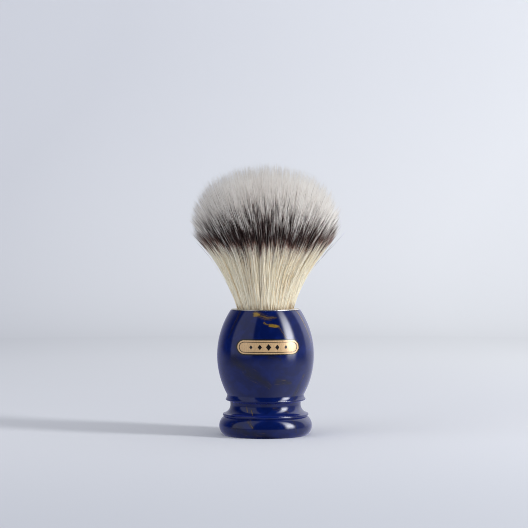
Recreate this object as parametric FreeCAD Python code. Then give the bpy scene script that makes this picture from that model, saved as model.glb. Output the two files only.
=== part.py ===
import FreeCAD, Part
import math
import os

# A turned shaving brush, in millimetres. The origin is the middle of the foot's underside,
# +Z runs up the handle to the tips of the fibres, and the badge faces -Y.
# Every turned piece is one closed half outline, in (radius, height), spun about Z.

# Foot and its underside
foot_flat_r = 16.15
foot_bulge_r = 17.93
foot_bulge_z = 3.4
foot_groove_r = 16.05
foot_groove_z = 7.2
recess_r = 11.3
recess_depth = 0.6
recess_hollow = 0.7  # how far the corner bows, as a share of the depth

# Ridge over the foot, cove, and bead under the barrel
ridge_r = 16.53
ridge_z = 7.75
ridge_top_r = 16.33
ridge_top_z = 8.3
neck_r = 13.58
neck_z = 11.85
cove_top_r = 13.77
cove_top_z = 12.85
bead_under_r = 14.97
bead_under_z = 13.35
bead_r = 15.42
bead_z = 13.72
bead_top_r = 15.27
bead_top_z = 14.1
bead_hollow_r = 14.92
bead_hollow_z = 14.8

# Barrel: one arc from the bead to the rim
barrel_base_z = 15.5
barrel_top_z = 48.05
belly_r = 18.7
belly_z = 30.7
barrel_arc_r = 31.7

# Socket that the knot is set in
socket_r = 11.4
socket_floor_z = 34.0
counterbore_r = 11.95
counterbore_z = 43.4

# Flanged collar
flange_r = 13.2
flange_thickness = 0.5
collar_bore_r = 11.1
sleeve_r = 11.9
sleeve_bottom_z = 43.5
bore_round_r = 0.2
rim_z = barrel_top_z + flange_thickness

# Knot: cup, resin that sets it, resin plug with the bound roots
cup_r = 11.05
cup_wall = 0.7
cup_floor = 0.8
cup_bottom_z = 34.9
cup_top_z = 44.0
setting_top_z = 42.2
setting_meniscus = 0.09
plug_top_z = 43.0
thread_r = 0.3
thread_turns = 3
thread_pitch = 0.7
thread_first_z = 38.5
thread_ring_r = 9.95
thread_room = 0.05

# Tuft: the fibres bend about a point a little above the rim
pivot_z = rim_z + 8.0
root_dish_r = 12.8
root_dish_mid_deg = 60.0
root_gap = 0.05
root_r = 11.0
root_step_z = 44.6
root_top_r = 11.3
root_top_z = rim_z + 1.5
head_ball_r = 12.5
head_ball_mid_deg = 50.0
head_ball_end_deg = 10.0
flank_mid_r = 18.0
flank_mid_z = 64.8
flank_end_r = 26.5
flank_end_z = 75.6
shoulder_mid_r = 27.4
shoulder_mid_z = 79.0
dome_r = 27.6
dome_base_z = 83.5
dome_top_z = 104.0
dome_fullness = 0.5523  # a quarter ellipse; more is squarer

# Badge on the front of the barrel, as seen from straight ahead
badge_z = 34.7
badge_width = 24.0
badge_height = 6.0
badge_sweep_deg = 120
badge_cut_reach = 22.0  # past the front of the barrel
front_deg = -90
badge_border = 0.45
badge_line_inset = 0.55
badge_line_width = 0.22
adhesive_film = 0.02
backing_lift = 0.14
plate_lift = 0.24
marks_lift = 0.28
pip_count = 5
pip_pitch = 3.3
pip_middle_height = 2.5
pip_shrink = 0.5
pip_aspect = 0.8


base_middle = FreeCAD.Vector(0, 0, 0)
up = FreeCAD.Vector(0, 0, 1)


def at(radius, height):
    return FreeCAD.Vector(radius, 0, height)


def line(start, end):
    return Part.LineSegment(start, end).toShape()


def arc(start, middle, end):
    return Part.Arc(start, middle, end).toShape()


def path(*points):
    """Straight edges from each point to the next."""
    return [line(a, b) for a, b in zip(points, points[1:])]


def turned(edges):
    """The solid that a closed half outline sweeps round the Z axis."""
    outline = Part.Face(Part.Wire(edges))
    return outline.revolve(base_middle, up, 360)


def barrel_radius(z, lift=0.0):
    """Radius of the barrel at a height, or of a surface that stands off it by lift."""
    reach = barrel_arc_r + lift
    return belly_r - barrel_arc_r + math.sqrt(reach**2 - (z - belly_z) ** 2)


def ball_point(ball_r, below_deg):
    """A point on a ball about the tuft's pivot, below the pivot's level by an angle."""
    angle = math.radians(below_deg)
    return at(ball_r * math.cos(angle), pivot_z - ball_r * math.sin(angle))


def ball_point_at_height(ball_r, z):
    return at(math.sqrt(ball_r**2 - (pivot_z - z) ** 2), z)


def handle():
    recess_floor = at(0, recess_depth)
    recess_corner = at(recess_r - recess_depth, recess_depth)
    recess_bend = at(recess_r - recess_depth * (1 - recess_hollow), recess_depth * recess_hollow)
    recess_edge = at(recess_r, 0)
    foot_edge = at(foot_flat_r, 0)
    groove = at(foot_groove_r, foot_groove_z)
    ridge_top = at(ridge_top_r, ridge_top_z)
    cove_top = at(cove_top_r, cove_top_z)
    bead_under = at(bead_under_r, bead_under_z)
    bead_top = at(bead_top_r, bead_top_z)
    barrel_base = at(barrel_radius(barrel_base_z), barrel_base_z)
    barrel_top = at(barrel_radius(barrel_top_z), barrel_top_z)
    edges = path(recess_floor, recess_corner)
    edges += [
        arc(recess_corner, recess_bend, recess_edge),
        line(recess_edge, foot_edge),
        arc(foot_edge, at(foot_bulge_r, foot_bulge_z), groove),
        arc(groove, at(ridge_r, ridge_z), ridge_top),
        arc(ridge_top, at(neck_r, neck_z), cove_top),
        line(cove_top, bead_under),
        arc(bead_under, at(bead_r, bead_z), bead_top),
        arc(bead_top, at(bead_hollow_r, bead_hollow_z), barrel_base),
        arc(barrel_base, at(belly_r, belly_z), barrel_top),
    ]
    edges += path(
        barrel_top,
        at(counterbore_r, barrel_top_z),
        at(counterbore_r, counterbore_z),
        at(socket_r, counterbore_z),
        at(socket_r, socket_floor_z),
        at(0, socket_floor_z),
        recess_floor,
    )
    return turned(edges)


def collar():
    round_r = flange_thickness / 2
    bore_top = at(collar_bore_r, rim_z - bore_round_r)
    face_start = at(collar_bore_r + bore_round_r, rim_z)
    face_end = at(flange_r - round_r, rim_z)
    under_end = at(flange_r - round_r, barrel_top_z)
    slant = bore_round_r * (1 - math.sqrt(0.5))
    edges = [
        arc(bore_top, at(collar_bore_r + slant, rim_z - slant), face_start),
        line(face_start, face_end),
        arc(face_end, at(flange_r, rim_z - round_r), under_end),
    ]
    edges += path(
        under_end,
        at(sleeve_r, barrel_top_z),
        at(sleeve_r, sleeve_bottom_z),
        at(collar_bore_r, sleeve_bottom_z),
        bore_top,
    )
    return turned(edges)


def knot_cup():
    inner_r = cup_r - cup_wall
    floor_z = cup_bottom_z + cup_floor
    return turned(
        path(
            at(0, cup_bottom_z),
            at(cup_r, cup_bottom_z),
            at(cup_r, cup_top_z),
            at(inner_r, cup_top_z),
            at(inner_r, floor_z),
            at(0, floor_z),
            at(0, cup_bottom_z),
        )
    )


def setting_epoxy():
    """Resin under the cup and up between it and the socket, dished at its top."""
    outer_top = at(socket_r, setting_top_z)
    inner_top = at(cup_r, setting_top_z)
    dish = at((socket_r + cup_r) / 2, setting_top_z - setting_meniscus)
    edges = path(at(0, socket_floor_z), at(socket_r, socket_floor_z), outer_top)
    edges.append(arc(outer_top, dish, inner_top))
    edges += path(
        inner_top, at(cup_r, cup_bottom_z), at(0, cup_bottom_z), at(0, socket_floor_z)
    )
    return turned(edges)


def root_plug():
    """Resin-set roots of the fibres, with a shallow groove for the binding thread."""
    outer_r = cup_r - cup_wall
    floor_z = cup_bottom_z + cup_floor
    groove_r = thread_ring_r - thread_r - thread_room
    groove_low = thread_first_z - thread_r - thread_room
    last_z = thread_first_z + (thread_turns - 1) * thread_pitch
    groove_high = last_z + thread_r + thread_room
    return turned(
        path(
            at(0, floor_z),
            at(outer_r, floor_z),
            at(outer_r, groove_low),
            at(groove_r, groove_low),
            at(groove_r, groove_high),
            at(outer_r, groove_high),
            at(outer_r, plug_top_z),
            at(0, plug_top_z),
            at(0, floor_z),
        )
    )


def root_binding():
    """Turns of thread round the roots."""
    turns = []
    for turn in range(thread_turns):
        middle = at(0, thread_first_z + turn * thread_pitch)
        turns.append(Part.makeTorus(thread_ring_r, thread_r, middle))
    return Part.makeCompound(turns)


def tuft_root():
    """Packed fibres that stand still in the collar, dished where the head swings."""
    cup_fit_r = cup_r - cup_wall - root_gap
    dish_edge = ball_point_at_height(root_dish_r, root_top_z)
    dish_floor = at(0, pivot_z - root_dish_r)
    edges = path(
        at(0, plug_top_z),
        at(cup_fit_r, plug_top_z),
        at(cup_fit_r, cup_top_z + root_gap),
        at(root_r, root_step_z),
        at(root_r, rim_z),
        at(root_top_r, root_top_z),
        dish_edge,
    )
    edges.append(arc(dish_edge, ball_point(root_dish_r, root_dish_mid_deg), dish_floor))
    edges += path(dish_floor, at(0, plug_top_z))
    return turned(edges)


def tuft_head():
    """The fan of fibres: a ball about the pivot below, then flank, shoulder and dome."""
    ball_floor = at(0, pivot_z - head_ball_r)
    ball_end = ball_point(head_ball_r, head_ball_end_deg)
    flank_end = at(flank_end_r, flank_end_z)
    dome_edge = at(dome_r, dome_base_z)
    dome_top = at(0, dome_top_z)
    rise = at(0, (dome_top_z - dome_base_z) * dome_fullness)
    run = at(dome_r * dome_fullness, 0)
    dome = Part.BezierCurve()
    dome.setPoles([dome_edge, dome_edge + rise, dome_top + run, dome_top])
    edges = [
        arc(ball_floor, ball_point(head_ball_r, head_ball_mid_deg), ball_end),
        arc(ball_end, at(flank_mid_r, flank_mid_z), flank_end),
        arc(flank_end, at(shoulder_mid_r, shoulder_mid_z), dome_edge),
        dome.toShape(),
        line(dome_top, ball_floor),
    ]
    return turned(edges)


def barrel_skin(low_lift, high_lift):
    """The front of a shell that follows the barrel between two distances off its surface."""
    low_z = badge_z - badge_height
    high_z = badge_z + badge_height
    inner = [at(barrel_radius(z, low_lift), z) for z in (low_z, badge_z, high_z)]
    outer = [at(barrel_radius(z, high_lift), z) for z in (low_z, badge_z, high_z)]
    edges = [
        arc(*inner),
        line(inner[2], outer[2]),
        arc(*reversed(outer)),
        line(outer[0], inner[0]),
    ]
    outline = Part.Face(Part.Wire(edges))
    outline.rotate(base_middle, up, front_deg - badge_sweep_deg / 2)
    return outline.revolve(base_middle, up, badge_sweep_deg)


def stadium(width, height):
    """A bar with half-round ends, on the XZ plane about the badge's middle."""
    end_r = height / 2
    straight = width / 2 - end_r
    low = badge_z - end_r
    high = badge_z + end_r
    return Part.Face(
        Part.Wire(
            [
                line(at(-straight, low), at(straight, low)),
                arc(at(straight, low), at(width / 2, badge_z), at(straight, high)),
                line(at(straight, high), at(-straight, high)),
                arc(at(-straight, high), at(-width / 2, badge_z), at(-straight, low)),
            ]
        )
    )


def diamond(x, height):
    half_height = height / 2
    half_width = half_height * pip_aspect
    return Part.Face(
        Part.Wire(
            path(
                at(x - half_width, badge_z),
                at(x, badge_z - half_height),
                at(x + half_width, badge_z),
                at(x, badge_z + half_height),
                at(x - half_width, badge_z),
            )
        )
    )


def on_barrel(outline, low_lift, high_lift):
    """The part of the barrel's skin in front of a flat outline."""
    prism = outline.extrude(FreeCAD.Vector(0, -badge_cut_reach, 0))
    return barrel_skin(low_lift, high_lift).common(prism)


def badge_backing():
    return on_barrel(stadium(badge_width, badge_height), adhesive_film, backing_lift)


def badge_plate():
    border = 2 * badge_border
    outline = stadium(badge_width - border, badge_height - border)
    return on_barrel(outline, backing_lift, plate_lift)


def badge_marks():
    """A printed line round the plate and a row of diamonds."""
    inset = 2 * (badge_border + badge_line_inset)
    inside = inset + 2 * badge_line_width
    outer = stadium(badge_width - inset, badge_height - inset)
    outlines = [outer.cut(stadium(badge_width - inside, badge_height - inside))]
    for pip in range(pip_count):
        steps = pip - (pip_count - 1) / 2
        height = pip_middle_height - pip_shrink * abs(steps)
        outlines.append(diamond(steps * pip_pitch, height))
    marks = [on_barrel(outline, plate_lift, marks_lift) for outline in outlines]
    return Part.makeCompound([solid for mark in marks for solid in mark.Solids])


pieces = {
    "handle": handle,
    "collar": collar,
    "knot_cup": knot_cup,
    "setting_epoxy": setting_epoxy,
    "root_plug": root_plug,
    "root_binding": root_binding,
    "tuft_root": tuft_root,
    "tuft_head": tuft_head,
    "badge_backing": badge_backing,
    "badge_plate": badge_plate,
    "badge_marks": badge_marks,
}

os.makedirs("parts", exist_ok=True)
for name, build in pieces.items():
    shape = build()
    shape.exportStep(f"parts/{name}.step")
    print(name, len(shape.Solids), "solids", round(shape.Volume, 2), "mm3", shape.isValid())
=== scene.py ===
import math

import bpy
import numpy as np
from mathutils import Matrix, Vector
from mathutils.kdtree import KDTree


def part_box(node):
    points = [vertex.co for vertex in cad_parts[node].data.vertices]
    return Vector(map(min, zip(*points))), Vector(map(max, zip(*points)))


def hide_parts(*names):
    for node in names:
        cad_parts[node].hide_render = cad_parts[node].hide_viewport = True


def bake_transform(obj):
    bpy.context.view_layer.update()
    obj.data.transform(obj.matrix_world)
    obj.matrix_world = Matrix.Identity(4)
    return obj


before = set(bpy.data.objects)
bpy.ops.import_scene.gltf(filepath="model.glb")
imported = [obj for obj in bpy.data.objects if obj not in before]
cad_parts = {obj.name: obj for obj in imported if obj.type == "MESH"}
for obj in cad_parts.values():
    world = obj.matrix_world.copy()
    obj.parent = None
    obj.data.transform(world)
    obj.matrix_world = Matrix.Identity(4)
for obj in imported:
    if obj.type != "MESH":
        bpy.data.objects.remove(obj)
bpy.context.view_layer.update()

# A shaving brush in a plain studio, in metres. The origin is the middle of the foot's
# underside, +Z runs up the handle, and the badge faces -Y.

MM = 0.001
SEED = 20

# Places that the frame gives: rim of the collar, top and widest radius of the tuft, its
# root, and the widest radius of the handle
RIM_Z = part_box("collar")[1].z
TOP_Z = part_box("tuft_head")[1].z
FAN_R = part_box("tuft_head")[1].x
MOUTH_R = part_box("knot_cup")[1].x
HANDLE_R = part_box("handle")[1].x
LOFT = TOP_Z - RIM_Z


# ---------------------------------------------------------------- camera

CAMERA_DISTANCE = 0.650
CAMERA_HEIGHT = 0.0735
CAMERA_TURN = math.radians(-3.6)
CAMERA_DIP = math.radians(0.68)
CAMERA_AIM = math.radians(0.046)
CAMERA_ROLL = math.radians(0.10)
FRAME_WIDTH = 0.2038  # what the view spans at the brush
SENSOR = 36.0
CLIP = (0.01, 20.0)


def round_the_brush(turn, distance, height):
    """A place at a turn from straight in front of the badge, positive to the right."""
    return Vector((math.sin(turn) * distance, -math.cos(turn) * distance, height))


def make_camera():
    data = bpy.data.cameras.new("camera")
    data.sensor_width = SENSOR
    data.lens = SENSOR * CAMERA_DISTANCE / FRAME_WIDTH
    data.clip_start, data.clip_end = CLIP
    camera = bpy.data.objects.new("camera", data)
    level = Matrix.Rotation(CAMERA_TURN + CAMERA_AIM, 4, "Z") @ Matrix.Rotation(math.pi / 2, 4, "X")
    place = round_the_brush(CAMERA_TURN, CAMERA_DISTANCE, CAMERA_HEIGHT)
    dip_and_roll = Matrix.Rotation(-CAMERA_DIP, 4, "X") @ Matrix.Rotation(-CAMERA_ROLL, 4, "Z")
    camera.matrix_world = Matrix.Translation(place) @ level @ dip_and_roll
    bpy.context.scene.collection.objects.link(camera)
    bpy.context.scene.camera = camera


# ---------------------------------------------------------------- node helpers


class Shader:
    """A material with one Principled shader, and short calls for the nodes that feed it."""

    def __init__(self, name, **plain):
        self.material = bpy.data.materials.new(name)
        self.material.use_nodes = True
        self.tree = self.material.node_tree
        self.surface = self.tree.nodes["Principled BSDF"]
        for socket, value in plain.items():
            self.surface.inputs[socket.replace("_", " ")].default_value = value

    def node(self, kind, settings=None, **inputs):
        made = self.tree.nodes.new("ShaderNode" + kind)
        for key, value in (settings or {}).items():
            setattr(made, key, value)
        for key, value in inputs.items():
            self.feed(made.inputs[key.replace("_", " ")], value)
        return made

    def feed(self, socket, value):
        """Link a socket or set a plain value."""
        if isinstance(value, bpy.types.NodeSocket):
            self.tree.links.new(value, socket)
        else:
            socket.default_value = value

    def math(self, operation, *values):
        made = self.node("Math", {"operation": operation})
        for socket, value in zip(made.inputs, values):
            self.feed(socket, value)
        return made.outputs[0]

    def vectors(self, operation, *values):
        made = self.node("VectorMath", {"operation": operation})
        for socket, value in zip(made.inputs, values):
            self.feed(socket, value)
        return made.outputs[0]

    def place(self):
        return self.node("TexCoord").outputs["Object"]

    def split(self, vector):
        return self.node("SeparateXYZ", Vector=vector).outputs

    def scaled(self, vector, scale):
        return self.node("Mapping", Vector=vector, Scale=scale).outputs[0]

    def noise_node(self, vector, scale, detail, roughness):
        """Noise with scale in cells to the metre."""
        return self.node("TexNoise", Vector=vector, Scale=scale, Detail=detail, Roughness=roughness)

    def noise(self, vector, scale, detail=2.0, roughness=0.5):
        return self.noise_node(vector, scale, detail, roughness).outputs["Fac"]

    def noise_vector(self, vector, scale, detail=2.0, roughness=0.5):
        return self.noise_node(vector, scale, detail, roughness).outputs["Color"]

    def step(self, value, low, high):
        """0 below low, 1 above high, smooth between them; falls if low is above high."""
        made = self.node("MapRange", {"interpolation_type": "SMOOTHSTEP"}, Value=value)
        self.feed(made.inputs["From Min"], low)
        self.feed(made.inputs["From Max"], high)
        return made.outputs[0]

    def between(self, value, low, high):
        """A 0 to 1 value stretched to run from low to high."""
        made = self.node("MapRange", Value=value)
        self.feed(made.inputs["To Min"], low)
        self.feed(made.inputs["To Max"], high)
        return made.outputs[0]

    def window(self, value, low, high, soft):
        """1 between two values, 0 outside them, with soft edges."""
        rise = self.step(value, low - soft, low + soft)
        return self.math("MULTIPLY", rise, self.step(value, high + soft, high - soft))

    def mix(self, share, a, b):
        """Colour a where share is 0, colour b where it is 1."""
        made = self.node("Mix", {"data_type": "RGBA"})
        for socket, value in zip((made.inputs[0], made.inputs[6], made.inputs[7]), (share, a, b)):
            self.feed(socket, value)
        return made.outputs[2]

    def bump(self, height, distance, strength=1.0):
        made = self.node("Bump", Height=height, Distance=distance, Strength=strength)
        self.tree.links.new(made.outputs[0], self.surface.inputs["Normal"])

    def drive(self, socket, value):
        self.tree.links.new(value, self.surface.inputs[socket])

    def finished(self, grain, dark, light, roughness, relief, strength):
        """The material with one grain that carries its colour, roughness and relief."""
        self.drive("Base Color", self.mix(grain, dark, light))
        self.drive("Roughness", self.between(grain, *roughness))
        self.bump(grain, relief, strength)
        return self.material


def rgb(red, green, blue):
    """A colour as the eye reads it, 0 to 255, as the linear colour that shaders use."""
    return tuple(
        c / 12.92 if c <= 0.04045 else ((c + 0.055) / 1.055) ** 2.4
        for c in (red / 255, green / 255, blue / 255)
    ) + (1.0,)


# ---------------------------------------------------------------- marbled resin

RESIN_IOR = 1.5
DEEP_BLUE = (0.0011, 0.0062, 0.060, 1)
BRIGHT_BLUE = (0.0024, 0.0108, 0.096, 1)
EDGE_BLUE = (0.12, 0.15, 0.85, 1)
OLIVE = (0.010, 0.010, 0.011, 1)
GOLD_PIGMENT = (0.23, 0.14, 0.018, 1)

# Streaks of pigment on the front of the handle: turn from the front in degrees and height in
# mm at each end, half width in mm, how much of it is gold, how strong it is
STREAKS = (
    ((-21, 47.3), (-13, 46.8), 1.0, 0.9, 1.0),
    ((-13, 46.8), (14, 46.0), 1.1, 0.7, 0.7),
    ((-6, 45.6), (5, 45.2), 0.4, 0.6, 0.6),
    ((-5, 44.0), (3, 43.2), 0.5, 0.9, 0.8),
    ((3, 43.2), (14, 42.4), 0.65, 0.9, 0.95),
    ((14, 42.4), (24, 37.0), 0.4, 0.7, 0.6),
    ((57, 48.5), (70, 35.0), 0.5, 0.85, 0.8),
    ((66, 48.5), (76, 36.0), 0.35, 0.75, 0.5),
    ((-48, 47.5), (-55, 38.0), 0.8, 0.3, 0.6),
    ((-44, 29.5), (-22, 25.0), 2.0, 0.0, 0.6),
    ((-24, 25.0), (0, 20.0), 1.8, 0.0, 0.6),
    ((2, 30.8), (13, 30.2), 0.9, 0.0, 0.5),
    ((12, 21.4), (30, 21.0), 1.2, 0.25, 0.6),
    ((42, 15.8), (50, 24.0), 0.9, 0.1, 0.5),
    ((-26, 6.6), (-21, 4.6), 0.8, 0.5, 0.7),
    ((-46, 3.4), (8, 0.4), 1.6, 0.1, 0.6),
    ((36, 7.0), (38, 2.0), 0.5, 0.3, 0.5),
    ((-37, 11.6), (-33, 10.0), 0.4, 0.7, 0.6),
    ((-26, 10.6), (-22, 8.8), 0.4, 0.7, 0.6),
    ((10, 10.6), (34, 9.6), 0.6, 0.5, 0.5),
)
STREAK_START = 1.9  # widths of a streak's soft edge at its first end
STREAK_NARROWS = 1.0  # widths that it loses by its second end
STREAK_SEED_STEP = 9.0
WANDER_MM = 3.0
FRAY_MM = 0.7
COMB_MM = 12.0
SWIRL_MM = 50.0


def warped_skin(s, place, drift, level):
    """How far round and how far up the handle a point lies, in mm, pushed about so that
    the streaks drawn there wander and fray."""
    x, y, z = s.split(place)
    turn = s.math("ARCTAN2", x, s.math("MULTIPLY", y, -1.0))
    around = s.math("MULTIPLY", turn, HANDLE_R / MM)
    height = s.math("MULTIPLY", z, 1 / MM)
    fray = s.noise_vector(level, 600.0, 3.0, 0.6)
    skin = []
    for straight, soft, fine in zip((around, height), s.split(drift), s.split(fray)):
        moved = s.math("MULTIPLY_ADD", s.math("SUBTRACT", soft, 0.5), WANDER_MM, straight)
        skin.append(s.math("MULTIPLY_ADD", s.math("SUBTRACT", fine, 0.5), FRAY_MM, moved))
    return skin


def smeared(s, skin, low, high, half_width, seed):
    """1 on the line between two places on the skin, 0 beside it, narrower towards its
    second end, and the strands of pigment that run along it."""
    start, end = [(math.radians(turn) * HANDLE_R / MM, height) for turn, height in (low, high)]
    length = math.dist(start, end)
    run, rise = [(b - a) / length for a, b in zip(start, end)]
    right, up = [s.math("SUBTRACT", here, there) for here, there in zip(skin, start)]
    along = s.math("MULTIPLY_ADD", right, run, s.math("MULTIPLY", up, rise))
    aside = s.math("MULTIPLY_ADD", right, rise, s.math("MULTIPLY", up, -run))
    on_line = s.math("MINIMUM", s.math("MAXIMUM", along, 0.0), length)
    past = s.math("SUBTRACT", along, on_line)
    squared = s.math("MULTIPLY_ADD", past, past, s.math("MULTIPLY", aside, aside))
    narrowing = -half_width * STREAK_NARROWS / length
    reach = s.math("MULTIPLY_ADD", on_line, narrowing, half_width * STREAK_START)
    near = s.step(s.math("SQRT", squared), reach, 0.0)
    drawn_out = s.math("MULTIPLY", along, 0.16)
    packed = s.math("MULTIPLY", aside, 1.9)
    lay = s.node("CombineXYZ", X=drawn_out, Y=packed, Z=seed)
    return near, s.noise(lay.outputs[0], 1.0, 3.0, 0.6)


def front_streaks(s, skin):
    """How much olive and how much gold the streaks on the front hold at a point."""
    olive = gold = 0.0
    for number, (low, high, half_width, gold_share, strength) in enumerate(STREAKS):
        near, strands = smeared(s, skin, low, high, half_width, number * STREAK_SEED_STEP)
        olive = s.math("MAXIMUM", olive, s.math("MULTIPLY", near, strength))
        load = s.math("MULTIPLY", near, gold_share * strength)
        thick = s.math("MULTIPLY_ADD", s.math("SUBTRACT", strands, 0.5), 2.0, load)
        thick = s.math("MULTIPLY", s.step(thick, 0.15, 0.95), s.step(near, 0.0, 0.3))
        gold = s.math("MAXIMUM", gold, thick)
    return olive, gold


def back_marbling(s, folded, drift, level):
    """The same for the back: folded clouds of olive and combed flecks of gold."""
    olive = s.step(s.noise(folded, 70.0, 4.0, 0.55), 0.56, 0.68)
    combed = s.vectors("MULTIPLY_ADD", drift, (COMB_MM * MM,) * 3, level)
    strands = s.noise(s.scaled(combed, (0.5, 0.5, 0.65)), 640.0, 3.0, 0.6)
    patches = s.step(s.noise(folded, 75.0), 0.54, 0.66)
    return olive, s.math("MULTIPLY", s.step(strands, 0.50, 0.70), patches)


def marbled_resin():
    """Polished resin: ultramarine with smeared olive clouds and streaks of gold pigment."""
    s = Shader("marbled_resin", IOR=RESIN_IOR, Sheen_Weight=0.4, Sheen_Roughness=0.4)
    s.surface.inputs["Sheen Tint"].default_value = EDGE_BLUE
    place = s.place()
    _, y, z = s.split(place)
    drift = s.noise_vector(place, 110.0)
    level = s.scaled(place, (0.5, 0.5, 1.6))  # noise drawn from it lies level round the handle
    swirl = s.scaled(drift, (SWIRL_MM * MM,) * 3)
    folded = s.vectors("ADD", s.scaled(place, (1.0, 1.0, 1.8)), swirl)

    olive, gold = front_streaks(s, warped_skin(s, place, drift, level))
    olive_behind, gold_behind = back_marbling(s, folded, drift, level)
    behind = s.step(y, 0.0, 4 * MM)
    olive = s.math("MAXIMUM", olive, s.math("MULTIPLY", olive_behind, behind))
    gold = s.math("MAXIMUM", gold, s.math("MULTIPLY", gold_behind, behind))

    blue = s.mix(s.step(s.noise(folded, 60.0, 3.0, 0.5), 0.35, 0.68), DEEP_BLUE, BRIGHT_BLUE)
    cloud = s.math("MULTIPLY", olive, s.step(s.noise(place, 1000.0, 3.0, 0.6), 0.1, 0.5))
    flakes = s.between(s.step(s.noise(place, 420.0), 0.36, 0.6), 0.5, 1.0)
    clouded = s.mix(cloud, blue, OLIVE)
    s.drive("Base Color", s.mix(s.math("MULTIPLY", gold, flakes), clouded, GOLD_PIGMENT))

    # Painted shade in the reflection: the gloss falls off towards the bottom edge, standing in for
    # the contact shadow on the floor that the foot reflects.
    clear_of_contact_shade = s.step(z, -0.5 * MM, 4 * MM)
    s.drive("Specular IOR Level", s.between(clear_of_contact_shade, 0.12, 0.5))
    wear = s.noise(s.scaled(place, (1.0, 1.0, 6.0)), 900.0, 4.0, 0.6)
    s.drive("Roughness", s.between(wear, 0.09, 0.15))
    s.bump(s.noise(place, 420.0, 2.0, 0.5), 0.01 * MM, 0.35)
    return s.material


# ---------------------------------------------------------------- other solid pieces' materials


def nickel_plate():
    """Turned and plated metal, a little tarnished, with fine turning marks round it."""
    s = Shader("nickel_plate", Metallic=1.0)
    place = s.place()
    tarnish = s.noise(place, 260.0, 4.0, 0.6)
    s.drive("Base Color", s.mix(tarnish, (0.62, 0.60, 0.57, 1), (0.76, 0.74, 0.72, 1)))
    turning = s.noise(s.scaled(place, (1.0, 1.0, 40.0)), 700.0, 3.0, 0.5)
    s.drive("Roughness", s.between(turning, 0.20, 0.36))
    s.bump(turning, 0.01 * MM, 0.4)
    return s.material


def gold_plate():
    """Gold-coloured foil under clear varnish, with a fine upright grain."""
    s = Shader("gold_plate", Metallic=0.15, IOR=RESIN_IOR)
    grain = s.noise(s.scaled(s.place(), (30.0, 30.0, 1.0)), 160.0, 3.0, 0.6)
    shadow_gold = (0.50, 0.33, 0.175, 1)
    bright_gold = (0.62, 0.425, 0.235, 1)
    return s.finished(grain, shadow_gold, bright_gold, (0.22, 0.34), 0.01 * MM, 0.3)


def black_enamel():
    s = Shader("black_enamel", IOR=RESIN_IOR)
    flow = s.noise(s.place(), 600.0, 3.0, 0.5)
    black = (0.006, 0.006, 0.007, 1)
    soft_black = (0.014, 0.013, 0.013, 1)
    return s.finished(flow, black, soft_black, (0.15, 0.30), 0.01 * MM, 0.3)


def cup_plastic():
    """Moulded dark plastic with a fine speckle."""
    s = Shader("cup_plastic")
    speckle = s.noise(s.place(), 1500.0, 4.0, 0.6)
    charcoal = (0.012, 0.012, 0.013, 1)
    grey = (0.03, 0.03, 0.03, 1)
    return s.finished(speckle, charcoal, grey, (0.4, 0.6), 0.02 * MM, 0.4)


def amber_resin():
    """Cast resin, cloudy where it soaked into the fibres."""
    s = Shader("amber_resin", IOR=RESIN_IOR)
    cloud = s.noise(s.place(), 300.0, 4.0, 0.5)
    amber = (0.34, 0.17, 0.05, 1)
    honey = (0.52, 0.31, 0.12, 1)
    return s.finished(cloud, amber, honey, (0.2, 0.4), 0.03 * MM, 0.3)


def binding_thread():
    """Twisted thread, with its lay slanting across it."""
    s = Shader("binding_thread")
    twist = s.node("TexWave", {"bands_direction": "DIAGONAL"}, Scale=900.0, Distortion=2.0)
    s.feed(twist.inputs["Vector"], s.place())
    # The darker colour between the strands is painted shade in the grooves of the twist.
    groove_shade = (0.42, 0.36, 0.26, 1)
    strand = (0.72, 0.66, 0.54, 1)
    lay = twist.outputs["Fac"]
    return s.finished(lay, groove_shade, strand, (0.7, 0.9), 0.08 * MM, 0.6)


def dress_cad_nodes():
    resin = amber_resin()
    enamel = black_enamel()
    finishes = {
        "handle": marbled_resin(),
        "collar": nickel_plate(),
        "knot_cup": cup_plastic(),
        "setting_epoxy": resin,
        "root_plug": resin,
        "root_binding": binding_thread(),
        "badge_backing": enamel,
        "badge_plate": gold_plate(),
        "badge_marks": enamel,
    }
    for node, material in finishes.items():
        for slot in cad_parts[node].material_slots:
            slot.material = material


# ---------------------------------------------------------------- tuft: where the fibres lie

# The fibres gather into bundles, and the bundles into clumps
FIBRE_PIECES = 6
FIBRES = 25800
BUNDLES = 7000
CLUMPS = 560
GOLDEN_TURN = math.pi * (3 - math.sqrt(5))
PLACE_DISORDER = 0.03

# Outline of the fan: the tips lie on a dome that curls under at its edge
EDGE_ANGLE = math.radians(110)
DOME_SHARE = 0.628
CROWN_POWER = 0.91
TIP_SPREAD = 1.02
FOOT_SHARE = 0.985
MOUTH_FLARE = 2.2 * MM

# How the fibres draw together, lean and wave on their way up
TO_BUNDLE = 0.6
TO_CLUMP = 0.10
GROUP_LEAN = 0.45 * MM
OWN_LEAN = 0.14 * MM
WAVE = 0.22 * MM
LEAN_RIGHT = 0.7 * MM
TIP_BACK = 0.5 * MM
LOOSE_SHARE = 0.025
LOOSE_MEAN = 1.3 * MM
LOOSE_MOST = 3.2 * MM

# How long they are, as shares of the way to the dome
FULL_REACH = 1.012
CLUMP_REACH = 0.006
BUNDLE_REACH = 0.008
BUNDLE_SHORT = 0.012
OWN_REACH = 0.008

# A fibre's own shape
RINGS = 9
SIDES = 3
FIBRE_R = 0.062 * MM
TAPER = 0.45
POINT_SHARE = 0.12
BURIED = 2.5 * MM
BURIED_INWARD = 0.97


def smooth(x, low, high):
    """0 below low, 1 above high, smooth between them; falls if low is above high."""
    share = np.clip((x - low) / (high - low), 0, 1)
    return share * share * (3 - 2 * share)


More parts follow.
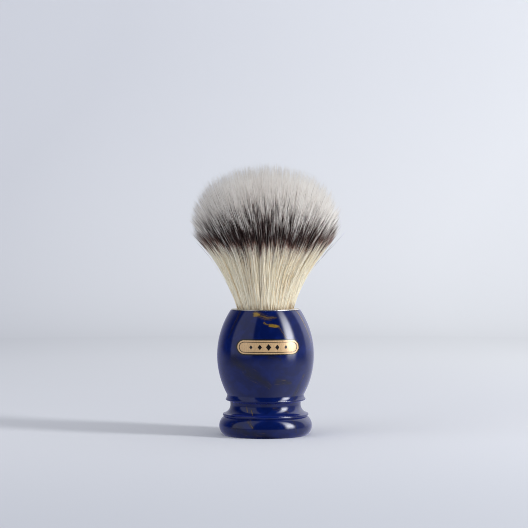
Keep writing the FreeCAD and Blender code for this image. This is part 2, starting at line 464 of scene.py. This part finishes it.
def fan_point(across, along):
    """Where a fibre is at each share of its length. across is its place in the round
    mouth of the collar, as x and y from -1 to 1. Each fibre is a Bezier curve that leaves
    nearly upright, flares, and ends on the dome."""
    s = np.maximum(np.linalg.norm(across, axis=-1), 1e-4)
    tip_angle = 2 * np.arcsin(np.clip(s * math.sin(EDGE_ANGLE / 2), 0, 0.95))
    tip_r = TIP_SPREAD * FAN_R * np.sin(tip_angle)
    dome_z = DOME_SHARE * LOFT
    level = np.cos(tip_angle)
    tip_z = dome_z + (LOFT - dome_z) * np.where(level > 0, np.abs(level) ** CROWN_POWER, level)

    # Distance from the axis and height above the rim of the curve's four control points
    radii = [
        FOOT_SHARE * MOUTH_R * s,
        MOUTH_R * s + MOUTH_FLARE * s**3,
        tip_r * (0.80 - 0.14 * s**2),
        tip_r,
    ]
    heights = [
        0 * s,
        (18 - 10 * s**2) * MM,
        tip_z - (18 - 8 * s**2) * MM,
        tip_z,
    ]
    t = along
    weights = [(1 - t) ** 3, 3 * t * (1 - t) ** 2, 3 * t**2 * (1 - t), t**3]
    radius = sum(w * p for w, p in zip(weights, radii))
    height = sum(w * p for w, p in zip(weights, heights))
    flat = across / s[..., None] * radius[..., None]
    return np.concatenate([flat, height[..., None]], axis=-1)


def sunflower(rng, count):
    """Even places in a round of radius 1, with a little disorder."""
    order = np.arange(count)
    turn = order * GOLDEN_TURN + rng.normal(0, PLACE_DISORDER, count)
    return np.sqrt((order + 0.5) / count)[:, None] * np.stack([np.cos(turn), np.sin(turn)], -1)


def nearest(places, centres):
    """The number of the centre nearest to each place in the round."""
    tree = KDTree(len(centres))
    for number, (x, y) in enumerate(centres):
        tree.insert((x, y, 0), number)
    tree.balance()
    return np.array([tree.find((x, y, 0))[1] for x, y in places])


def drawn_together(fibre_at, bundle_at, clump_at, along):
    """A fibre's place in the round on its way up: its own at the foot, then nearer to that
    of its bundle, while the bundle draws nearer to its clump."""
    to_bundle = TO_BUNDLE * smooth(along, 0.15, 0.7)[..., None]
    to_clump = TO_CLUMP * smooth(along, 0.3, 0.8)[..., None]
    across = fibre_at[:, None] + (bundle_at - fibre_at)[:, None] * to_bundle
    return across + (clump_at - bundle_at)[:, None] * to_clump


def leaning(rng, group_lean, bundle, along):
    """How far each point stands aside: a lean with its group and one of its own, which both
    grow towards the tip, and a slow wave that the fibres of a bundle share."""
    lean = group_lean[:, None] * (along**2)[..., None]
    own = rng.normal(0, OWN_LEAN, (len(along), 1, 2)) * (along**1.5)[..., None]
    phase = rng.uniform(0, 2 * math.pi, BUNDLES)[bundle][:, None]
    waves = rng.uniform(1.0, 2.2, BUNDLES)[bundle][:, None]
    wave = WAVE * np.sin(2 * math.pi * waves * along + phase) * smooth(along, 0.0, 0.3)
    turn = rng.uniform(0, 2 * math.pi, BUNDLES)[bundle]
    side = np.stack([np.cos(turn), np.sin(turn)], -1)[:, None]
    return lean + own + wave[..., None] * side


def straying(rng, outward, along):
    """How far each point of the loose fibres stands off outwards, and which are loose."""
    count = len(along)
    loose = (rng.uniform(0, 1, count) < LOOSE_SHARE) * rng.exponential(LOOSE_MEAN, count)
    loose = np.minimum(loose, LOOSE_MOST)
    turn = rng.normal(0, 0.5, count)
    sideways = np.stack([-outward[:, 1], outward[:, 0]], -1)
    stray = np.cos(turn)[:, None] * outward + np.sin(turn)[:, None] * sideways
    return (loose[:, None] * stray)[:, None] * (along**1.5)[..., None], loose > 0


def shaded(rng, group_shade, fibre_at, outward):
    """Each fibre's shade from 0 to 1, less at the two sides and in the middle."""
    shade = group_shade + rng.normal(0, 0.03, len(fibre_at))
    beside = np.abs(outward[:, 0])
    shade -= 0.42 * beside**2 + 0.12 * outward[:, 0] * smooth(beside, 1.0, 0.5)
    shade -= 0.25 * smooth(np.linalg.norm(fibre_at, axis=-1), 0.65, 0.3)
    return np.clip(shade, 0, 0.999)


def lowered(rng, clump_of_bundle, bundle, outward, loose):
    """How much lower each fibre's colours sit, most on the left and on loose fibres."""
    by_bundle = rng.normal(0, 0.6 * MM, CLUMPS)[clump_of_bundle]
    by_bundle += np.minimum(rng.exponential(1.8 * MM, BUNDLES), 5 * MM) - 1.7 * MM
    beside = np.abs(outward[:, 0])
    both_sides = smooth(beside, 0.05, 0.45) * smooth(beside, 1.1, 0.6)
    lower = by_bundle[bundle] + (1.0 - 0.5 * outward[:, 0]) * MM * both_sides
    return lower + 2.5 * MM * loose


def lay_fibres(rng, count):
    """Centre lines of the fibres, (fibre, ring, xyz), each one's shade, and how much lower
    its colours sit. The fibres fill the mouth evenly, gather into bundles and clumps on
    their way up, and a few loose ones stand off outwards."""
    clump_at = sunflower(rng, CLUMPS)
    bundle_at = sunflower(rng, BUNDLES)
    fibre_at = sunflower(rng, count)
    outward = fibre_at / np.linalg.norm(fibre_at, axis=-1, keepdims=True)
    bundle = nearest(fibre_at, bundle_at)
    clump_of_bundle = nearest(bundle_at, clump_at)
    clump = clump_of_bundle[bundle]

    clump_lean = rng.normal(0, GROUP_LEAN, (CLUMPS, 2))
    clump_reach = rng.normal(0, CLUMP_REACH, CLUMPS)
    clump_shade = rng.uniform(0, 1, CLUMPS)
    bundle_lean = rng.normal(0, GROUP_LEAN, (BUNDLES, 2))
    bundle_reach = clump_reach[clump_of_bundle] + rng.normal(0, BUNDLE_REACH, BUNDLES)
    bundle_reach -= rng.exponential(BUNDLE_SHORT, BUNDLES)
    bundle_shade = 0.15 * clump_shade[clump_of_bundle] + 0.85 * rng.uniform(0, 1, BUNDLES)
    reach = FULL_REACH + bundle_reach[bundle] + rng.normal(0, OWN_REACH, count)

    along = np.linspace(0, 1, RINGS - 1) * reach[:, None]
    across = drawn_together(fibre_at, bundle_at[bundle], clump_at[clump], along)
    points = fan_point(across, along)
    points[..., :2] += leaning(rng, clump_lean[clump] + bundle_lean[bundle], bundle, along)
    points[..., 0] += LEAN_RIGHT * smooth(along, 0.45, 0.72) - TIP_BACK * along**4
    stray, loose = straying(rng, outward, along)
    points[..., :2] += stray

    buried = points[:, :1].copy()
    buried[..., :2] *= BURIED_INWARD
    buried[..., 2] -= BURIED
    points = np.concatenate([buried, points], axis=1)
    points[..., 2] += RIM_Z
    shade = shaded(rng, bundle_shade[bundle], fibre_at, outward)
    return points, shade, lowered(rng, clump_of_bundle, bundle, outward, loose)


# ---------------------------------------------------------------- tuft: mesh and material

# The map: its width holds one column for each shade, its height is a distance along a fibre
MAP_NAME = "OFBake"
SHADES = 128
SHADE_FILL = 0.7
LENGTH_RANGE = 64 * MM


def across_the_fibre(points):
    """Two directions square to each fibre at each ring, turned differently on each fibre."""
    tangent = np.empty_like(points)
    tangent[:, 1:-1] = points[:, 2:] - points[:, :-2]
    tangent[:, 0] = points[:, 1] - points[:, 0]
    tangent[:, -1] = points[:, -1] - points[:, -2]
    tangent /= np.linalg.norm(tangent, axis=-1, keepdims=True)
    turn = np.arange(len(points)) * GOLDEN_TURN
    ahead = np.stack([np.cos(turn), np.sin(turn), 0 * turn], -1)[:, None]
    first = ahead - (ahead * tangent).sum(-1, keepdims=True) * tangent
    first /= np.linalg.norm(first, axis=-1, keepdims=True)
    return first, np.cross(tangent, first)


def fibre_vertices(points):
    """Rings of corners round each centre line, and one point at its tip."""
    count, rings, _ = points.shape
    first, second = (side[:, :-1, None] for side in across_the_fibre(points))
    share = np.linspace(0, 1, rings)
    thickness = FIBRE_R * (1 - TAPER * share) * np.clip((1 - share) / POINT_SHARE, 0, 1)
    corner = 2 * math.pi * np.arange(SIDES) / SIDES
    spokes = np.cos(corner)[:, None] * first + np.sin(corner)[:, None] * second
    body = points[:, :-1, None] + thickness[None, :-1, None, None] * spokes
    return np.concatenate([body.reshape(count, -1, 3), points[:, -1:]], axis=1)


def fibre_faces(rings):
    """Corners of one fibre's faces: the four-sided walls, then the three-sided ones round
    its tip and the one that closes its foot."""
    sides = np.arange(SIDES)
    after = (sides + 1) % SIDES
    low = (np.arange(rings - 2) * SIDES)[:, None]
    walls = np.stack([low + sides, low + after, low + SIDES + after, low + SIDES + sides], -1)
    last = (rings - 2) * SIDES
    tips = np.stack([last + sides, last + after, np.full(SIDES, last + SIDES)], -1)
    return walls.reshape(-1, 4), np.concatenate([tips, sides[::-1][None]])


def fibre_map(points, shade, lower):
    """Map places of all face corners, in the order of fibre_faces: a fibre's shade across,
    and the distance from its foot up, moved by how much lower its colours sit."""
    count, rings, _ = points.shape
    step = np.linalg.norm(np.diff(points, axis=1), axis=-1)
    travelled = np.concatenate([np.zeros((count, 1)), np.cumsum(step, axis=1)], axis=1)
    height = np.maximum(travelled + lower[:, None], 0) / LENGTH_RANGE
    left = (np.floor(shade * SHADES) + (1 - SHADE_FILL) / 2) / SHADES
    width = SHADE_FILL / SHADES

    sides = np.arange(SIDES)
    wall_share = np.stack([sides, sides + 1, sides + 1, sides], -1)[None] / SIDES
    wall_share = np.broadcast_to(wall_share, (rings - 2, SIDES, 4)).reshape(-1)
    low_ring = np.arange(rings - 2)[:, None] + 0 * sides
    wall_ring = np.stack([low_ring, low_ring, low_ring + 1, low_ring + 1], -1).reshape(-1)
    tip_share = np.stack([sides, sides + 1, sides + 0.5], -1).reshape(-1)
    end_share = np.concatenate([tip_share, sides[::-1]]) / SIDES
    tip_ring = np.tile([rings - 2, rings - 2, rings - 1], SIDES)
    end_ring = np.concatenate([tip_ring, np.zeros(SIDES, int)])
    u = [(left[:, None] + width * share).ravel() for share in (wall_share, end_share)]
    v = [height[:, ring].ravel() for ring in (wall_ring, end_ring)]
    return np.stack([np.concatenate(u), np.concatenate(v)], -1)


def fibre_mesh(name, points, shade, lower):
    """Closed three-sided fibres round the centre lines, each tapering to a point."""
    count, rings, _ = points.shape
    vertices = fibre_vertices(points)
    walls, ends = fibre_faces(rings)
    start = (np.arange(count) * vertices.shape[1])[:, None, None]
    corners = np.concatenate([(start + walls).reshape(-1), (start + ends).reshape(-1)])
    sizes = np.repeat([4, 3], [count * len(walls), count * len(ends)])
    starts = np.concatenate([[0], np.cumsum(sizes)[:-1]])

    mesh = bpy.data.meshes.new(name)
    mesh.vertices.add(count * vertices.shape[1])
    mesh.vertices.foreach_set("co", vertices.astype(np.float32).ravel())
    mesh.loops.add(len(corners))
    mesh.loops.foreach_set("vertex_index", corners.astype(np.int32))
    mesh.polygons.add(len(sizes))
    mesh.polygons.foreach_set("loop_start", starts.astype(np.int32))
    mesh.polygons.foreach_set("use_smooth", np.ones(len(sizes), bool))
    mesh.update(calc_edges=True)
    layer = mesh.uv_layers.new(name=MAP_NAME)
    layer.data.foreach_set("uv", fibre_map(points, shade, lower).astype(np.float32).ravel())
    return mesh


# Where the dark band starts and ends on a fibre, in mm from the rim: the usual place, how
# much it varies, and how far a rare fibre goes beyond
DARK_FROM = 23.0
DARK_FROM_VARIES = 2.4
DARK_FROM_RARE = -7.0
DARK_RISE = 5.0
DARK_TO = 30.7
DARK_TO_VARIES = 12.5
DARK_TO_RARE = 13.0
DARK_FALL = 3.8

CREAM = (0.99, 0.955, 0.82, 1)
TAN = (0.82, 0.63, 0.37, 1)
PALE_TIP = (0.895, 0.875, 0.855, 1)
GREY_TIP = (0.58, 0.51, 0.47, 1)
RIM_SHADE = (0.48, 0.37, 0.24, 1)
RED_BROWN = (0.36, 0.17, 0.12, 1)
DULL_BROWN = (0.20, 0.125, 0.115, 1)
BLACK = (0.012, 0.006, 0.007, 1)
SOFT_BLACK = (0.11, 0.066, 0.062, 1)


def dark_band(s, distance, shade, chance):
    """How dark a fibre is at a distance from the rim, from 0 to 1. A few fibres have no
    band at all."""
    first = s.math("ADD", chance(3.7), chance(9.4))
    start = s.math("MULTIPLY_ADD", first, DARK_FROM_VARIES, DARK_FROM)
    start = s.math("MULTIPLY_ADD", s.math("POWER", chance(6.6), 9.0), DARK_FROM_RARE, start)
    end = s.math("MULTIPLY_ADD", shade, DARK_TO_VARIES, DARK_TO)
    end = s.math("MULTIPLY_ADD", s.math("POWER", chance(7.7), 8.0), DARK_TO_RARE, end)
    rise = s.step(distance, start, s.math("ADD", start, DARK_RISE))
    fall = s.step(distance, s.math("ADD", end, DARK_FALL), end)
    banded = s.step(chance(4.6), 0.99, 0.93)
    return s.math("MULTIPLY", s.math("MULTIPLY", rise, fall), banded)


def fibre():
    """Cream roots, a dark band that fades up to pale tips. The map's width picks one of
    the shades, which sets how far up the dark runs; its height is the distance along."""
    s = Shader("fibre", Specular_IOR_Level=0.2)
    across, along, _ = s.split(s.node("UVMap", {"uv_map": MAP_NAME}).outputs[0])
    column = s.math("FLOOR", s.math("MULTIPLY", across, float(SHADES)))
    shade = s.math("DIVIDE", column, float(SHADES))
    distance = s.math("MULTIPLY_ADD", along, LENGTH_RANGE / MM, -BURIED / MM)

    def chance(seed):
        """A number from 0 to 1 that each shade draws for itself."""
        made = s.node("TexWhiteNoise", {"noise_dimensions": "1D"}, W=s.math("ADD", shade, seed))
        return made.outputs["Value"]

    cream = s.mix(s.math("POWER", chance(1.3), 3.5), CREAM, TAN)
    pale = s.mix(s.math("POWER", chance(5.9), 2.0), PALE_TIP, GREY_TIP)
    ends = s.mix(s.step(distance, 20.0, 36.0), cream, pale)
    # Painted shade: each fibre darkens to a warm brown over its last 2 mm above the rim, where the
    # collar shades the roots.
    ends = s.mix(s.step(distance, 2.0, -0.8), ends, RIM_SHADE)
    brown = s.mix(s.step(distance, 26.0, 33.0), RED_BROWN, DULL_BROWN)
    black = s.mix(s.math("POWER", chance(8.1), 3.0), BLACK, SOFT_BLACK)
    dark = dark_band(s, distance, shade, chance)
    to_brown = s.mix(s.step(dark, 0.0, 0.55), ends, brown)
    s.drive("Base Color", s.mix(s.step(dark, 0.4, 1.0), to_brown, black))
    s.drive("Roughness", s.between(chance(2.2), 0.38, 0.55))
    return s.material


# Real fibres let light through, so only every third piece casts a shadow.
SHADOW_EVERY = 3


def make_tuft():
    points, shade, lower = lay_fibres(np.random.default_rng(SEED), FIBRES)
    look = fibre()
    for number in range(FIBRE_PIECES):
        name = f"fibres_{number + 1}"
        chosen = slice(number, None, FIBRE_PIECES)
        mesh = fibre_mesh(name, points[chosen], shade[chosen], lower[chosen])
        mesh.materials.append(look)
        piece = bpy.data.objects.new(name, mesh)
        piece.visible_shadow = number % SHADOW_EVERY == 0
        bpy.context.scene.collection.objects.link(piece)
        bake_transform(piece)
        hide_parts("tuft_root", "tuft_head")


# ---------------------------------------------------------------- studio

FLOOR_R = 0.70
COVE_R = 0.35
WALL_TOP = 1.3
ROOM_R = 1.6
STRIP_STRENGTH = 18.3
SWEEP_STEPS = 96
PAPER = (rgb(230, 233, 242), rgb(233, 236, 245))
# The paper's colour in painted shade, the colour of the painted light that glows on it, and the
# most that this painted glow reaches
SHADED_PAPER = rgb(201, 205, 216)
PAINTED_PAPER_LIGHT = rgb(228, 230, 225)
PAINTED_GLOW_MOST = 0.23
COOL_WHITE = (0.97, 0.98, 1.0)
KEY_WHITE = (0.985, 0.985, 0.965)
SKY = (0.965, 0.975, 1.005, 1.0)
SKY_STRENGTH = 0.51


def swept(name, outline):
    """A stage surface swept round the brush from an outline in (radius, height)."""
    turns = np.linspace(0, 2 * math.pi, SWEEP_STEPS + 1)
    r, z = np.array(outline).T
    x = np.sin(turns)[:, None] * r
    y = np.cos(turns)[:, None] * r
    vertices = np.stack([x, y, np.broadcast_to(z, x.shape)], -1).reshape(-1, 3)
    across = len(outline)
    faces = [
        (a * across + b, a * across + b + 1, (a + 1) * across + b + 1, (a + 1) * across + b)
        for a in range(SWEEP_STEPS)
        for b in range(across - 1)
    ]
    mesh = bpy.data.meshes.new(name)
    mesh.from_pydata(vertices.tolist(), [], faces)
    mesh.polygons.foreach_set("use_smooth", np.ones(len(mesh.polygons), bool))
    surface = bpy.data.objects.new(name, mesh)
    bpy.context.scene.collection.objects.link(surface)
    return surface


def studio_paper():
    """Pale paper, a little darker in front and on the left as painted shade, with a painted
    glow far from the brush that grows to the right and stands in for light falling there."""
    s = Shader("studio_paper", Roughness=0.9, Specular_IOR_Level=0.0)
    place = s.place()
    x, y, z = s.split(place)
    pale = s.mix(s.noise(place, 3.0, 2.0, 0.5), *PAPER)
    # Painted shade: the paper darkens towards the front and on the left, where less light falls.
    shade_on_the_left = s.math("MULTIPLY", s.step(x, -0.08, -0.50), 0.5)
    painted_shade = s.math("MAXIMUM", s.step(y, 0.03, -0.30), shade_on_the_left)
    s.drive("Base Color", s.mix(painted_shade, pale, SHADED_PAPER))
    # Painted light: far from the brush the paper glows by itself, more to the right and weaker
    # higher up, standing in for light falling on the wall.
    squared = s.math("MULTIPLY_ADD", x, x, s.math("MULTIPLY", y, y))
    far = s.step(s.math("SQRT", squared), 0.0, 0.50)
    level = s.math("MULTIPLY_ADD", s.step(z, 0.0, 0.3), -0.095, 0.133)
    glow = s.math("MULTIPLY", far, s.math("MULTIPLY_ADD", x, 0.50, level))
    glow = s.math("MINIMUM", s.math("MAXIMUM", glow, 0.0), PAINTED_GLOW_MOST)
    s.surface.inputs["Emission Color"].default_value = PAINTED_PAPER_LIGHT
    s.drive("Emission Strength", glow)
    return s.material


def light_above(s, turn, rise):
    """The upper half of the room: a broad panel on the left, a fill behind it, a glow on
    the right, a reflector behind on the right, and the pale paper behind the brush."""
    beside = s.math("ABSOLUTE", turn)
    panel_part = s.math("MULTIPLY", s.window(turn, -94.0, -35.5, 2.0), s.step(rise, 85.0, 70.0))
    back_left = s.math("MULTIPLY", s.step(turn, -112.0, -150.0), 0.38)
    beside_right = s.math("MULTIPLY", s.step(turn, 58.0, 76.0), 0.34)
    reflector = s.math("MULTIPLY", s.step(turn, 106.0, 112.0), s.step(turn, 185.0, 135.0))
    reflector = s.math("MULTIPLY", reflector, s.between(s.step(rise, -5.0, 20.0), 0.6, 1.15))
    behind = s.math("MULTIPLY", s.step(beside, 150.0, 178.0), 0.3)
    upper = s.math("MULTIPLY_ADD", panel_part, 0.66, behind)
    for part in (back_left, beside_right, reflector):
        upper = s.math("ADD", upper, part)
    return upper


def light_below(s, turn, rise):
    """The floor: brighter to the right, dark far off in front, and dark straight below as painted
    shadow.
    """
    level = s.math("MULTIPLY_ADD", s.step(turn, -10.0, 70.0), 0.45, 0.36)
    near = s.step(rise, 3.0, -13.0)
    lit = s.math("MAXIMUM", near, s.step(s.math("ABSOLUTE", turn), 80.0, 125.0))
    return s.math("MULTIPLY", s.math("MULTIPLY", lit, level), s.step(rise, -88.0, -60.0))


def bright_strip(s, turn, rise):
    """A tall narrow strip on the right that leans a little."""
    lean = s.math("MULTIPLY_ADD", rise, -0.04, turn)
    ends = s.math("MULTIPLY", s.step(rise, -10.0, 20.0), s.step(rise, 72.0, 14.0))
    return s.math("MULTIPLY", s.window(lean, 49.5, 71.0, 6.0), ends)


def room_light():
    """What the polished pieces reflect, by turn from the front and rise in degrees."""
    s = Shader("room_light")
    emission = s.node("Emission", Color=COOL_WHITE + (1.0,))
    s.tree.links.new(emission.outputs[0], s.tree.nodes["Material Output"].inputs["Surface"])
    s.tree.nodes.remove(s.surface)
    x, y, z = s.split(s.place())
    degrees = 180 / math.pi
    turn = s.math("MULTIPLY", s.math("ARCTAN2", x, s.math("MULTIPLY", y, -1.0)), degrees)
    rise = s.math("MULTIPLY", s.math("ARCSINE", s.math("DIVIDE", z, ROOM_R)), degrees)
    above = light_above(s, turn, rise)
    below = light_below(s, turn, rise)
    share_up = s.step(rise, -5.0, 4.0)
    room = s.math("MULTIPLY_ADD", share_up, s.math("SUBTRACT", above, below), below)
    room = s.math("MULTIPLY_ADD", bright_strip(s, turn, rise), STRIP_STRENGTH, room)
    s.feed(emission.inputs["Strength"], room)
    return s.material


def make_studio():
    """A pale floor that curves up into a wall, and a room that only polish reflects."""
    paper = studio_paper()
    arc = [math.radians(a) for a in range(0, 91, 5)]
    cove = [(FLOOR_R + COVE_R * math.sin(a), COVE_R * (1 - math.cos(a))) for a in arc]
    floor = swept("floor", [(0.0, 0.0), (0.1, 0.0), (0.3, 0.0), (FLOOR_R, 0.0)])
    wall = swept("wall", cove + [(FLOOR_R + COVE_R, WALL_TOP)])
    wall.visible_diffuse = False
    wall.visible_shadow = False
    for surface in (floor, wall):
        surface.visible_glossy = False
        surface.data.materials.append(paper)
    rises = [math.radians(a) for a in range(-90, 91, 5)]
    room = swept("room", [(ROOM_R * math.cos(a), ROOM_R * math.sin(a)) for a in rises])
    room.data.materials.append(room_light())
    room.visible_camera = False
    room.visible_diffuse = False
    room.visible_transmission = False
    room.visible_shadow = False


def panel(name, place, width, height, radiance, colour):
    """A flat soft light that faces the brush."""
    data = bpy.data.lights.new(name, "AREA")
    data.shape = "RECTANGLE"
    data.size = width
    data.size_y = height
    data.energy = radiance * width * height * math.pi
    data.color = colour
    light = bpy.data.objects.new(name, data)
    brush = Vector((0, 0, 0.05))
    facing = (place - brush).to_track_quat("Z", "Y").to_matrix().to_4x4()
    light.matrix_world = Matrix.Translation(place) @ facing
    light.visible_camera = False
    light.visible_glossy = False
    bpy.context.scene.collection.objects.link(light)


def make_lights():
    """A narrow key light on the right, a wide soft panel on the left, and a pale sky."""
    key_at = round_the_brush(math.radians(64), 0.85, 0.33)
    panel("key", key_at, width=0.15, height=0.38, radiance=35.5, colour=KEY_WHITE)
    left_at = round_the_brush(math.radians(-65), 1.5, 0.45)
    panel("left_panel", left_at, width=1.7, height=0.85, radiance=1.9, colour=COOL_WHITE)
    world = bpy.data.worlds.new("studio")
    world.use_nodes = True
    sky = world.node_tree.nodes["Background"]
    sky.inputs["Color"].default_value = SKY
    sky.inputs["Strength"].default_value = SKY_STRENGTH
    bpy.context.scene.world = world
    world.cycles_visibility.glossy = False


def set_look():
    """Plain colours, and bounces enough for light to work its way through the tuft."""
    scene = bpy.context.scene
    scene.view_settings.view_transform = "Standard"
    scene.view_settings.look = "None"
    scene.cycles.use_denoising = True
    scene.cycles.max_bounces = 16
    scene.cycles.diffuse_bounces = 12
    scene.cycles.filter_width = 1.0


make_camera()
make_studio()
make_lights()
set_look()
dress_cad_nodes()
make_tuft()
